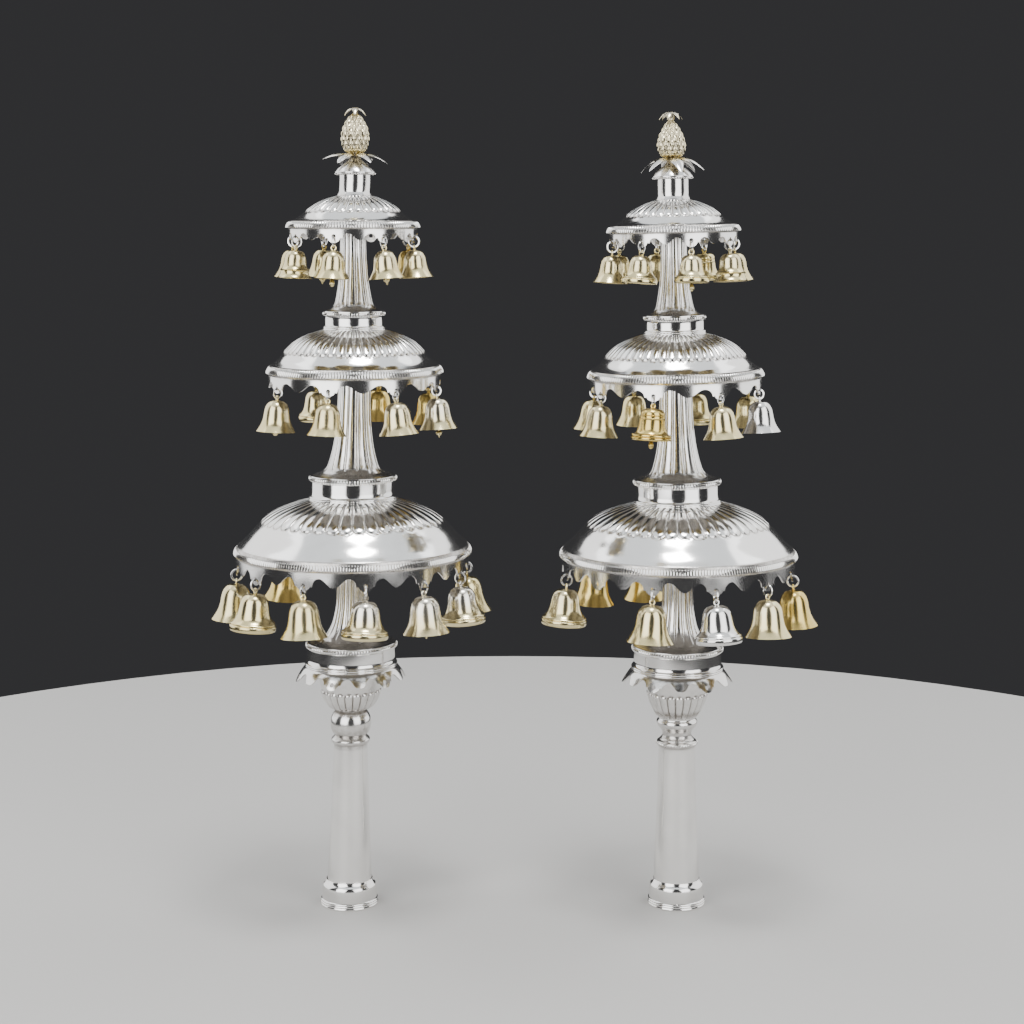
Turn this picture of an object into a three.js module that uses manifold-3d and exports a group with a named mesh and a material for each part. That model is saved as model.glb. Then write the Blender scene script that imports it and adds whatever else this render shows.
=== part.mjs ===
// A pair of silver torah finials: two three-tiered towers of domes hung with small bells.
// Millimetres, +Z up. The towers stand side by side along X, and their fronts face -Y.
// Angles round a tower are measured from the front, positive towards +X.
import * as THREE from 'three';
import Module from 'manifold-3d';
import { mergeVertices } from 'three/addons/utils/BufferGeometryUtils.js';

// The pair
const AXIS_SPACING = 178;
const PAIR_CENTRE_X = 0.47;
const PAIR_CENTRE_Y = 0.32;

// Gap left where one piece rests on the next
const JOINT_GAP = 0.3;

// Sheet silver. The domes are thicker at the shoulder and at the crown.
const SHELL_WALL = 1.1;
const SHOULDER_WALL = 1.8;
const CROWN_WALL = 1.4;
const APRON_WALL = 0.9;

// Carving: relief of the gadroons on the domes and of the flutes on the stems
const GADROON_RELIEF = 0.8;
const GADROON_LIFT = 0.4;
const FLUTE_RELIEF = 0.7;
const CUP_LOBE_RELIEF = 0.8;

// Sides of the round pieces
const ROUND_SIDES = 12;
const FLUTES = 12;
const CAP_SIDES = 8;
const BELL_SIDES = 6;

// The three tiers, from the widest dome up. Every dome ends in a flat apron, cut into
// tabs that carry the bells and shorter plain points between them. The drops are how far
// below the rim the tabs, the points, the arcs between them and the tabs' holes lie.
const TIERS = {
  lower: {
    tabs: 12,
    rimRadius: 63.4,
    rimZ: 193.4,
    apronRadius: 62.2,
    tabDrop: 11.6,
    pointDrop: 9.2,
    arcDrop: 4.2,
    holeDrop: 8.0,
    profile: [[37, 217.6], [49, 209.6]],
    seatRadius: 22.6,
    seatZ: 221.6,
    linkRadius: 2.9,
    bellLoop: 1.05,
    bellRadius: 12.0,
    bellHeight: 19.0,
  },
  middle: {
    tabs: 8,
    rimRadius: 47.1,
    rimZ: 289.9,
    apronRadius: 45.6,
    tabDrop: 9.9,
    pointDrop: 8.0,
    arcDrop: 4.0,
    holeDrop: 7.0,
    profile: [[36.4, 302.6]],
    seatRadius: 16.0,
    seatZ: 312.0,
    linkRadius: 2.4,
    bellLoop: 0.6,
    bellRadius: 10.3,
    bellHeight: 16.3,
  },
  top: {
    tabs: 8,
    rimRadius: 35.4,
    rimZ: 366.8,
    apronRadius: 33.8,
    tabDrop: 8.3,
    pointDrop: 6.8,
    arcDrop: 3.3,
    holeDrop: 4.9,
    profile: [[25.6, 374.8]],
    seatRadius: 9.2,
    seatZ: 382.6,
    linkRadius: 2.8,
    bellLoop: 1.0,
    bellRadius: 9.3,
    bellHeight: 14.4,
  },
};

// The stems, each a drum with a trumpet-shaped fluted stem on it. flare is the plain
// part above the drum's rim and flutes the fluted part, as [radius, height].
const STEMS = {
  calyx: {
    footRadius: 24.6,
    bandRadius: 23.4,
    rimRadius: 24.7,
    footZ: 131.6,
    bandZ: 134.0,
    rimZ: 141.8,
    flare: [[22.4, 144.4], [15.6, 146.6]],
    flutes: [[13.0, 149.6], [8.6, 162], [7.7, 219.0]],
    collar: { tabs: 6, rootZ: 132.8, tipRadius: 30.0, tabZ: 123.5, pointZ: 125.2, arcZ: 129.2 },
  },
  middle: {
    footRadius: 23.2,
    bandRadius: 22.1,
    rimRadius: 23.6,
    footZ: 221.9,
    bandZ: 224.2,
    rimZ: 232.0,
    flare: [[20.8, 234.6]],
    flutes: [[13.8, 239.2], [10.4, 251.8], [8.2, 308.1]],
  },
  upper: {
    footRadius: 16.4,
    bandRadius: 15.6,
    rimRadius: 16.7,
    footZ: 312.3,
    bandZ: 314.2,
    rimZ: 320.2,
    flare: [[14.5, 322.6]],
    flutes: [[10.3, 325.8], [8.3, 332.4], [6.4, 378.5]],
  },
};

// Height of the undercut below a drum's rim
const RIM_UNDERCUT = 0.8;

// The cap: a small drum, a beaded cone, leaves, and a pineapple with a tuft. The neck's
// end and the pineapple's foot reach a little into each other.
const CAP = {
  drum: [[9.4, 382.9], [8.3, 384.6], [8.3, 394.2]],
  cone: [[10.8, 395.4], [4.4, 400.6]],
  neck: [2.6, 402.2],
  neckOverlap: 1,
  pineapple: [[3.2, 404.8], [6.5, 408.4], [7.1, 412.8], [6.2, 418.0], [3.2, 423.6]],
  tuftStalk: [1.1, 426.6],
  topZ: 430.0,
  baseLeaves: { count: 6, z: 403.4, reach: 17.6, width: 5.8, thickness: 1.4 },
  tuftLeaves: { count: 4, z: 428.6, reach: 5.6, width: 3.0, thickness: 0.9 },
};

// Where a leaf is widest and where its keel is deepest, and how far its tip droops, as
// shares of its length
const LEAF = { widest: 0.45, keel: 0.4, droop: 0.18 };

// The links that carry the bells: rings that stand in the plane through the tower's axis.
// They are soldered into the tabs a little beside the tips, which keeps the faces few.
const LINK_WIRE = 0.55;
const LINK_BESIDE_TIP = THREE.MathUtils.degToRad(1.15);

// A bell's outline, as shares of its mouth radius and of its height
const BELL_SHOULDER = [0.60, 0.77];
const BELL_WAIST = [0.72, 0.32];
const BELL_WALL = 0.9;
const BELL_CROWN_WALL = 1.3;

// The bells hang a little outwards, and each one sways its own way
const BELL_LEAN = THREE.MathUtils.degToRad(4);
const BELL_SWAY = THREE.MathUtils.degToRad(3);
const SWAY_STEP = 2.4;

// The two towers differ a little, as hand-raised work does. At a height, bend is how far
// the axis has drifted sideways, tilt how many degrees the pieces lean, and lift how far
// they sit above the common height.
const TOWERS = {
  left: {
    side: -1,
    bend: [[0, 0], [89, 1.3], [133, 1.9], [192, 3.3], [224, 3.3], [290, 4.9], [372, 4.4],
      [390, 5.8], [430, 6.0]],
    tilt: [[0, 0], [430, 0]],
    lift: [[0, 0], [430, 0]],
    socket: {
      tube: [[11.9, 13.0], [9.0, 88.6]],
      collar: [[10.2, 89.9], [10.2, 91.7]],
      knop: [[8.6, 93.0], [10.6, 96.2], [10.9, 102.6], [7.7, 107.0]],
      cup: [[9.8, 108.8], [13.4, 111.8], [16.4, 118.9], [18.4, 131.3]],
    },
    phase: { collar: -16.4, lower: 10.6, middle: 32.3, top: 32.5 },
    bells: {
      lower: [-79.4, -49.4, -19.4, 10.6, 40.6, 70.6, 100.6, -139.4],
      middle: [-57.7, -12.7, 32.3, 77.3, 122.3, 167.3, -147.7],
      top: [-57.5, -12.5, 32.5, 77.5, 122.5, -147.5, -102.5],
    },
  },
  right: {
    side: 1,
    bend: [[0, 0], [89, -0.3], [192, -0.3], [232, -1.1], [290, -2.4], [367, -4.0],
      [395, -4.6], [415, -5.6], [430, -6.0]],
    tilt: [[0, 0], [200, 0], [240, 1.2], [430, 1.2]],
    lift: [[0, 0], [108, 0], [128, -2.2], [430, -2.2]],
    socket: {
      tube: [[12.3, 13.0], [9.8, 86.8]],
      collar: [[11.4, 88.2], [11.2, 90.4]],
      knop: [[8.7, 92.4], [8.1, 95.2], [11.0, 99.2], [10.0, 102.6]],
      cup: [[10.5, 104.0], [14.2, 111.6], [16.6, 118.5], [18.4, 131.3]],
    },
    phase: { collar: 29.2, lower: 13.3, middle: 25.8, top: 10.9 },
    bells: {
      lower: [-76.7, -16.7, 13.3, 43.3, 73.3, -136.7, -166.7],
      middle: [-64.2, -19.2, 25.8, 70.8, 115.8, 160.8, -154.2, -109.2],
      top: [10.9, -34.1, -79.1, 55.9, 145.9, -169.1, -124.1],
    },
  },
};

// The socket's foot and bore are alike on both
const SOCKET = {
  foot: [[15.8, 0], [14.9, 3.4], [14.6, 10.2], [12.6, 12.0]],
  bore: [[10.5, 0], [7.7, 86.0]],
};

// Finishes
const FINISHES = {
  silver: { color: 0xc9c8c2, roughness: 0.22, metalness: 1 },
  gilt: { color: 0xd3c48c, roughness: 0.26, metalness: 1 },
  gold: { color: 0xc8a650, roughness: 0.28, metalness: 1 },
};
const SILVER_BELLS = ['right_lower_bell_3', 'right_middle_bell_4'];
const GOLD_BELLS = ['right_lower_bell_5', 'right_middle_bell_2', 'left_lower_bell_8',
  'right_lower_bell_6', 'right_lower_bell_7'];

const wasm = await Module();
wasm.setup();

const radians = THREE.MathUtils.degToRad;
const materials = Object.fromEntries(Object.entries(FINISHES)
  .map(([name, values]) => [name, new THREE.MeshStandardMaterial(values)]));

// Straight-line value of a list of [height, value] pairs at height z
function along(pairs, z) {
  for (let i = 1; i < pairs.length; i++) {
    const [z0, v0] = pairs[i - 1];
    const [z1, v1] = pairs[i];
    if (z <= z1) return v0 + (v1 - v0) * (z - z0) / (z1 - z0);
  }
  return pairs[pairs.length - 1][1];
}

// Moves a point of a straight tower to where the leaning tower has it
function leanPoint(tower, point) {
  const { x, y, z } = point;
  const tilt = radians(along(tower.tilt, z));
  return new THREE.Vector3(
    x * Math.cos(tilt) + along(tower.bend, z),
    y,
    z + x * Math.sin(tilt) + along(tower.lift, z),
  );
}

// A point at an angle from the front, on a radius and a height
function polar(angle, radius, z) {
  return new THREE.Vector3(radius * Math.sin(angle), -radius * Math.cos(angle), z);
}

// A ring of points round the axis. radius and height are numbers or functions of the
// point's index, and turn is the angle of the first point.
function ring(count, radius, height, turn = 0) {
  const value = (given, i) => (typeof given === 'function' ? given(i) : given);
  return Array.from({ length: count }, (_, i) =>
    polar(turn + 2 * Math.PI * i / count, value(radius, i), value(height, i)));
}

const apex = (z) => [new THREE.Vector3(0, 0, z)];

// Joins rings into one closed skin. Neighbouring rings have the same count of points,
// or one has twice as many, or one is a single point on the axis.
function skin(rings) {
  const points = rings.flat();
  const starts = [];
  rings.reduce((start, one) => {
    starts.push(start);
    return start + one.length;
  }, 0);
  const faces = [];
  for (let k = 1; k < rings.length; k++) {
    const low = rings[k - 1].length;
    const high = rings[k].length;
    const steps = Math.max(low, high);
    const at = (count, start, j) => start + Math.round(j * count / steps) % count;
    for (let i = 0; i < steps; i++) {
      const [a, b] = [i, i + 1].map((j) => at(low, starts[k - 1], j));
      const [c, d] = [i, i + 1].map((j) => at(high, starts[k], j));
      if (a !== b) faces.push(a, b, d);
      if (c !== d) faces.push(a, d, c);
    }
  }
  return solidFrom(points, faces);
}

// An indexed geometry whose faces point out
function solidFrom(points, faces) {
  let volume = 0;
  for (let i = 0; i < faces.length; i += 3) {
    const [a, b, c] = faces.slice(i, i + 3).map((index) => points[index]);
    volume += a.dot(b.clone().cross(c));
  }
  const index = volume > 0 ? faces : [...faces].reverse();
  const geometry = new THREE.BufferGeometry().setFromPoints(points);
  geometry.setIndex(index);
  return geometry;
}

// Geometry to solid and back, for pieces that are soldered together
function toManifold(geometry) {
  const bare = geometry.clone();
  bare.deleteAttribute('normal');
  bare.deleteAttribute('uv');
  const merged = mergeVertices(bare, 1e-5);
  return new wasm.Manifold(new wasm.Mesh({
    numProp: 3,
    vertProperties: Float32Array.from(merged.attributes.position.array),
    triVerts: Uint32Array.from(merged.index.array),
  }));
}

function joined(geometries) {
  const solid = geometries.map(toManifold).reduce((whole, one) => whole.add(one));
  const { vertProperties, triVerts } = solid.getMesh();
  const geometry = new THREE.BufferGeometry();
  geometry.setAttribute('position', new THREE.Float32BufferAttribute(vertProperties, 3));
  geometry.setIndex(Array.from(triVerts));
  return geometry;
}

// Relief that alternates from point to point round a ring: out on even, in on odd
const lobed = (radius, relief) => (i) => radius + (i % 2 ? -relief : relief) / 2;

// The lower edge of an apron or collar: tab, arc, point, arc, four points to a period
const scallop = (tabZ, pointZ, arcZ) => (i) => [tabZ, arcZ, pointZ, arcZ][i % 4];

// The stave socket: foot band, tapering tube, collar, knop and lobed cup, over a bore
// that is open below
function socketGeometry(tower) {
  const plain = ([radius, z]) => ring(ROUND_SIDES, radius, z);
  const { tube, collar, knop, cup } = tower.socket;
  const lobes = cup.slice(0, 3).map(([radius, z]) =>
    ring(2 * ROUND_SIDES, lobed(radius, CUP_LOBE_RELIEF), z));
  const cupTop = cup[cup.length - 1];
  return skin([
    apex(SOCKET.bore[1][1]),
    ...SOCKET.bore.map(plain).reverse(),
    ...SOCKET.foot.map(plain),
    ...tube.map(plain),
    ...collar.map(plain),
    ...knop.map(plain),
    ...lobes,
    plain(cupTop),
    apex(cupTop[1]),
  ]);
}

// A drum with its fluted stem. The calyx also has a scalloped collar that flares down
// over the cup.
function stemGeometry(stem, phase) {
  const plain = ([radius, z]) => ring(ROUND_SIDES, radius, z, phase);
  const rings = [apex(stem.footZ)];
  if (stem.collar) {
    const { tabs, rootZ, tipRadius, tabZ, pointZ, arcZ } = stem.collar;
    const edge = (radius) => ring(4 * tabs, radius, scallop(tabZ, pointZ, arcZ), phase);
    rings.push(plain([stem.footRadius - 2 * APRON_WALL, stem.footZ]));
    rings.push(edge(tipRadius - APRON_WALL), edge(tipRadius));
    rings.push(plain([stem.footRadius, rootZ]));
  } else {
    rings.push(plain([stem.footRadius, stem.footZ]));
  }
  rings.push(
    plain([stem.bandRadius, stem.bandZ]),
    plain([stem.bandRadius, stem.rimZ - RIM_UNDERCUT]),
    plain([stem.rimRadius, stem.rimZ]),
    ...stem.flare.map(plain),
    ...stem.flutes.map(([radius, z]) =>
      ring(2 * FLUTES, lobed(radius, FLUTE_RELIEF), z, phase)),
    apex(stem.flutes[stem.flutes.length - 1][1]),
  );
  return skin(rings);
}

// A dome: gadrooned crown, plain band, rim and scalloped apron, hollow underneath
function domeGeometry(tier, phase) {
  const sides = 2 * tier.tabs;
  const edgeZ = scallop(...[tier.tabDrop, tier.pointDrop, tier.arcDrop].map((drop) => tier.rimZ - drop));
  const edge = (radius) => ring(2 * sides, radius, edgeZ, phase);
  const gadroons = ([radius, z]) =>
    ring(2 * sides, lobed(radius, GADROON_RELIEF), lobed(z, GADROON_LIFT), phase);
  const [shoulderRadius, shoulderZ] = tier.profile[0];
  return skin([
    apex(tier.seatZ),
    ring(sides, tier.seatRadius, tier.seatZ, phase),
    ...tier.profile.map(gadroons),
    ring(sides, tier.rimRadius, tier.rimZ, phase),
    edge(tier.apronRadius),
    edge(tier.apronRadius - APRON_WALL),
    ring(sides, tier.apronRadius - APRON_WALL, tier.rimZ - SHELL_WALL, phase),
    ring(sides, shoulderRadius - SHELL_WALL, shoulderZ - SHOULDER_WALL, phase),
    apex(tier.seatZ - CROWN_WALL),
  ]);
}

// Where the link of a tab hangs: its middle, its own radius below the tab's hole
function linkCentre(tier, angle) {
  const holeZ = tier.rimZ - tier.holeDrop;
  return polar(angle, tier.apronRadius - APRON_WALL / 2, holeZ - tier.linkRadius);
}

function linkGeometry(tier, angle) {
  const link = new THREE.TorusGeometry(tier.linkRadius, LINK_WIRE, 3, 4);
  link.rotateX(Math.PI / 2);
  link.rotateZ(angle - Math.PI / 2);
  const centre = linkCentre(tier, angle);
  return link.translate(centre.x, centre.y, centre.z);
}

// A bell hanging from the origin, its loop under the link and its mouth open
function bellGeometry(tier) {
  const R = tier.bellRadius;
  const H = tier.bellHeight;
  const top = -(tier.linkRadius + LINK_WIRE + JOINT_GAP);
  const crown = top - tier.bellLoop;
  const height = (share) => crown - H * (1 - share);
  const round = (radius, z) => ring(BELL_SIDES, radius, z);
  const [shoulder, shoulderUp] = BELL_SHOULDER;
  const [waist, waistUp] = BELL_WAIST;
  return skin([
    apex(top),
    round(R * shoulder, height(shoulderUp)),
    round(R * waist, height(waistUp)),
    round(R, height(0)),
    round(R * waist - BELL_WALL, height(waistUp)),
    round(R * shoulder - BELL_WALL, height(shoulderUp) - BELL_WALL),
    apex(crown - BELL_CROWN_WALL),
  ]);
}

// A leaf: a pointed blade with a keel under it, from the axis out along +X, drooping
function leafGeometry({ reach, width, thickness }) {
  const tip = new THREE.Vector3(reach, 0, -LEAF.droop * reach);
  const side = (sign) => new THREE.Vector3(LEAF.widest * reach, sign * width / 2, 0);
  const keel = new THREE.Vector3(LEAF.keel * reach, 0, -thickness);
  const points = [new THREE.Vector3(0, 0, 0), side(-1), tip, side(1), keel];
  return solidFrom(points, [0, 1, 2, 0, 2, 3, 1, 0, 4, 2, 1, 4, 3, 2, 4, 0, 3, 4]);
}

function leafRing(leaves, phase) {
  return Array.from({ length: leaves.count }, (_, i) =>
    leafGeometry(leaves)
      .rotateZ(phase + 2 * Math.PI * i / leaves.count)
      .translate(0, 0, leaves.z));
}

// The cap with its pineapple. The pineapple's rings turn by half a step from one to the
// next, which gives its diamond facets.
function capGeometry(phase) {
  const plain = ([radius, z]) => ring(CAP_SIDES, radius, z);
  const fruit = CAP.pineapple.map(([radius, z], k) =>
    ring(CAP_SIDES, radius, z, (k % 2) * Math.PI / CAP_SIDES));
  const [firstRadius, firstZ] = CAP.drum[0];
  const body = skin([
    apex(firstZ),
    plain([firstRadius, firstZ]),
    ...CAP.drum.slice(1).map(plain),
    ...CAP.cone.map(plain),
    plain(CAP.neck),
    apex(CAP.neck[1] + CAP.neckOverlap / 2),
  ]);
  const head = skin([
    apex(CAP.neck[1] - CAP.neckOverlap),
    ...fruit,
    plain(CAP.tuftStalk),
    apex(CAP.topZ),
  ]);
  const leaves = [CAP.baseLeaves, CAP.tuftLeaves].flatMap((one) => leafRing(one, phase));
  return joined([body, head, ...leaves]);
}

// Adds a piece of a tower, bent with it
function addPiece(group, tower, name, geometry, material) {
  const positions = geometry.attributes.position;
  for (let i = 0; i < positions.count; i++) {
    const point = leanPoint(tower, new THREE.Vector3().fromBufferAttribute(positions, i));
    positions.setXYZ(i, point.x, point.y, point.z);
  }
  geometry.computeVertexNormals();
  const mesh = new THREE.Mesh(geometry, material);
  mesh.name = name;
  group.add(mesh);
}

// Hangs a bell from its link: it keeps its own shape and leans out a little
function addBell(group, tower, tier, name, angle, index) {
  const bell = new THREE.Mesh(bellGeometry(tier), bellMaterial(name));
  bell.geometry.computeVertexNormals();
  bell.name = name;
  bell.position.copy(leanPoint(tower, linkCentre(tier, angle)));
  bell.rotation.set(-BELL_LEAN, BELL_SWAY * Math.sin(SWAY_STEP * index), angle, 'ZXY');
  group.add(bell);
}

function bellMaterial(name) {
  if (SILVER_BELLS.includes(name)) return materials.silver;
  return GOLD_BELLS.includes(name) ? materials.gold : materials.gilt;
}

function buildTower(label, tower) {
  const group = new THREE.Group();
  const phases = tower.phase;
  const add = (name, geometry) =>
    addPiece(group, tower, `${label}_${name}`, geometry, materials.silver);
  add('stave_socket', socketGeometry(tower));
  add('calyx_stem', stemGeometry(STEMS.calyx, radians(phases.collar)));
  add('middle_stem', stemGeometry(STEMS.middle, 0));
  add('upper_stem', stemGeometry(STEMS.upper, 0));
  for (const [tierName, tier] of Object.entries(TIERS)) {
    const phase = radians(phases[tierName]);
    const angles = tower.bells[tierName].map(radians);
    const links = angles.map((angle) => linkGeometry(tier, angle));
    add(`${tierName}_dome`, joined([domeGeometry(tier, phase - LINK_BESIDE_TIP), ...links]));
    angles.forEach((angle, i) =>
      addBell(group, tower, tier, `${label}_${tierName}_bell_${i + 1}`, angle, i));
  }
  add('pineapple_cap', capGeometry(radians(phases.top)));
  group.position.set(tower.side * AXIS_SPACING / 2 - PAIR_CENTRE_X, PAIR_CENTRE_Y, 0);
  return group;
}

const pair = new THREE.Group();
for (const [label, tower] of Object.entries(TOWERS)) {
  pair.add(buildTower(label, tower));
}

export default pair;
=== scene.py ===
"""A pair of silver torah finials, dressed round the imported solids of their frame.

Two towers of three gadrooned domes on fluted stems, hung with small bells. A surface is
worked out in millimetres on a straight tower at the origin, bent with its tower and then
turned to metres. Angles round a tower are measured from its front (-Y), positive
towards +X, and a profile is a list of (radius, height).
"""

import math

import bmesh
import bpy
import numpy as np
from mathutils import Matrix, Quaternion, Vector


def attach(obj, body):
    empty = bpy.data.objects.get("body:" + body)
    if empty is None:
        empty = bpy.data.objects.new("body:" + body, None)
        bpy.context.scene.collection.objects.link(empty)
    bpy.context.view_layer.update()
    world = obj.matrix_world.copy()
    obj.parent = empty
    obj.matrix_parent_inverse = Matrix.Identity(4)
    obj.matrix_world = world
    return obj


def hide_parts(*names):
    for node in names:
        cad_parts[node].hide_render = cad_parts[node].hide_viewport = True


MM = 0.001
TURN = 2 * math.pi

# The pair: how far apart the towers stand, and how far to the right and to the front its
# middle would lie if they stood evenly about the origin
AXIS_SPACING = 178.0
PAIR_CENTRE = (0.47, 0.32)

# The three tiers. columns is how many points go round a dome: whole numbers of them fall
# on a gadroon and on a tab. ridge is the plain moulding below the crown and milled the band
# of upright beads below that. The drops are measured down from the rim.
TIERS = {
    "lower": {
        "tabs": 12, "columns": 504, "gadroons": 42, "tongue_radius": 49.0,
        "rim_z": 193.4, "apron_radius": 62.2, "apron_top": 1.3,
        "tab_drop": 11.6, "point_drop": 9.2, "arc_drop": 4.2, "hole_drop": 8.0, "ledge_drop": 8.4,
        "crown": [(22.6, 221.6), (31, 219.5), (39.5, 216.4), (46, 212.6), (51.2, 207.6),
                  (55.2, 203.1), (58.3, 200.0), (61.0, 197.8)],
        "ridge": ((61.0, 197.8), (62.0, 196.4)), "milled": ((62.1, 196.2), (63.2, 193.0)),
        "inside": [(61.2, 192.4), (55.5, 199.6), (48.5, 207.4), (36, 215.6), (20, 219.6), (11, 220.0)],
        "link_radius": 2.9, "bell_loop": 1.05, "bell_radius": 12.0, "bell_height": 19.0,
    },
    "middle": {
        "tabs": 8, "columns": 432, "gadroons": 48, "tongue_radius": 37.6,
        "rim_z": 289.9, "apron_radius": 45.6, "apron_top": 1.3,
        "tab_drop": 9.9, "point_drop": 8.0, "arc_drop": 4.0, "hole_drop": 7.0, "ledge_drop": 7.5,
        "crown": [(16, 312.1), (20.5, 310.9), (26, 309.0), (31.6, 306.0), (35.6, 302.4),
                  (38.4, 299.0), (41.2, 295.9), (44.5, 293.6)],
        "ridge": ((44.5, 293.6), (44.9, 293.2)), "milled": ((45.0, 293.0), (46.7, 289.6)),
        "inside": [(44.6, 288.9), (40.0, 294.6), (35.0, 300.6), (26, 306.6), (14, 310.2), (11, 310.5)],
        "link_radius": 2.4, "bell_loop": 0.6, "bell_radius": 10.3, "bell_height": 16.3,
    },
    "top": {
        "tabs": 8, "columns": 320, "gadroons": 32, "tongue_radius": 25.4,
        "rim_z": 366.8, "apron_radius": 33.8, "apron_top": 1.1,
        "tab_drop": 8.3, "point_drop": 6.8, "arc_drop": 3.3, "hole_drop": 4.9, "ledge_drop": 5.7,
        "crown": [(9.2, 382.7), (13.2, 381.6), (17.4, 379.9), (21.2, 377.8), (24.8, 375.0),
                  (28.0, 372.2), (31.0, 370.3), (33.2, 369.7)],
        "ridge": ((33.2, 369.7), (33.5, 369.5)), "milled": ((33.6, 369.3), (35.1, 366.3)),
        "inside": [(32.8, 365.8), (29.4, 369.2), (25, 372.8), (18, 378.0), (10, 380.8), (7.2, 381.2)],
        "link_radius": 2.8, "bell_loop": 1.0, "bell_radius": 9.3, "bell_height": 14.4,
    },
}

# The stems. Each is a drum (foot, reeds, band, milled rim) with a small plate on it, from
# which the fluted trumpet rises; painted shade sits on the plate and low in the flutes.
STEMS = {
    "calyx": {
        "foot_radius": 24.6, "band_radius": 23.4, "rim_radius": 24.7,
        "foot_z": 131.6, "band_z": 134.4, "rim_z": 141.8, "rim_top": 144.6, "flutes": 16, "columns": 256,
        "plate": [(22.6, 144.5), (20.0, 144.9), (17.6, 145.5), (15.6, 146.4)],
        "trumpet": [(15.6, 146.4), (13.1, 149.2), (10.4, 154.2), (9.0, 159.7), (8.2, 165.5), (7.9, 178),
                    (7.7, 192), (7.7, 219.0)],
    },
    "middle": {
        "foot_radius": 23.2, "band_radius": 22.1, "rim_radius": 23.6,
        "foot_z": 221.9, "band_z": 225.0, "rim_z": 232.0, "rim_top": 234.9, "flutes": 12, "columns": 240,
        "plate": [(21.6, 234.8), (19.4, 235.3), (16.8, 236.4)],
        "trumpet": [(16.8, 236.4), (14.1, 238.9), (12.4, 243.0), (11.1, 248.0), (10.0, 254), (9.1, 262),
                    (8.5, 274), (8.2, 290), (8.2, 308.1)],
    },
    "upper": {
        "foot_radius": 16.4, "band_radius": 15.6, "rim_radius": 16.7,
        "foot_z": 312.3, "band_z": 314.8, "rim_z": 319.9, "rim_top": 322.4, "flutes": 12, "columns": 240,
        "plate": [(14.4, 322.6), (12.9, 323.2), (11.6, 324.2)],
        "trumpet": [(11.6, 324.2), (10.2, 325.9), (9.4, 328.6), (8.6, 332.2), (7.7, 338), (7.0, 346),
                    (6.5, 358), (6.4, 378.5)],
    },
}
COLLAR = {"tabs": 6, "columns": 252, "root_z": 131.9, "tip_radius": 30.0, "apron_top": 0.0,
          "tab_drop": 8.2, "point_drop": 6.7, "arc_drop": 2.5, "hole_drop": 5.3, "ledge_drop": 5.3}

# Plates and trumpets. The grooves between flutes fade in along the trumpet, and painted shade
# lies on the plate and some way up from it, and low in the flutes' grooves. A trumpet's
# outline is close-stepped low down only.
FLUTE_FADE = [(-5.6, 0.0), (8.4, 1.0)]
FLUTE_PAINTED_SHADE = 0.6
PLATE_PAINTED_SHADE = 0.5
PLATE_UNSHADED_EDGE = 1.5
PLATE_SHADE_REACH = 12.0
CLOSE_STEPPED = 16.0
WIDE_STEP = 3

# The scalloped edges: sheet, radius of a tab's round lobe and of its hole, a tab's ledge with
# its fall, the shares of a half period's columns that the lobe and the arc take up, and how
# far along the rest of it the arc's top lies
APRON_WALL = 0.9
LOBE_RADIUS = 3.5
HOLE_RADIUS = 1.15
LEDGE_LENGTH = 1.2
LEDGE_FALL = 0.25
LEDGE_STEPS = 2
LOBE_SHARE = 0.3
ARC_SHARE = 0.26
ARC_PLACE = 0.34

# The grid of an apron: its rows, how many of them lie from a hole's middle to its edge, and
# how far round it the grid is drawn towards the hole
APRON_ROWS = 12
HOLE_HALF = 2
HOLE_REACH = 4

# Carving, in millimetres along the surface's normal
GADROON = {"crest": 0.55, "groove": 0.3, "width": 0.42}
FLUTE = {"crest": 0.4, "groove": 0.25, "width": 0.45}
CUP_LOBE = {"crest": 0.75, "groove": 0.3, "width": 0.45}

# Milled rims: half the width of a bead, how far apart the beads stand, and how far their
# middle lines lie in front of the rim's surface
BEAD_SIZE = 0.6
BEAD_PITCH = 1.5
BEAD_STAND = 0.25

# The links, and the bells' loops and clappers
LINK_WIRE = 0.5
LINK_CLEARANCE = 0.35
LOOP_WIRE = 0.42
BELL_WALL = 0.8
BELL_LEAN = math.radians(4)
BELL_SWAY = math.radians(3)
SWAY_STEP = 2.4
BELL_COLUMNS = 40
BELL_CORE = 0.6
MOUTH_EDGE = 0.15
CLAPPER_ROD = 0.28
CLAPPER_WIDTH = 0.95

# A bell's second colour: it grows from this share of the bell's height, is full this share
# higher up, and this part of it is left below
WEAR = (0.25, 0.35, 0.15)

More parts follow.
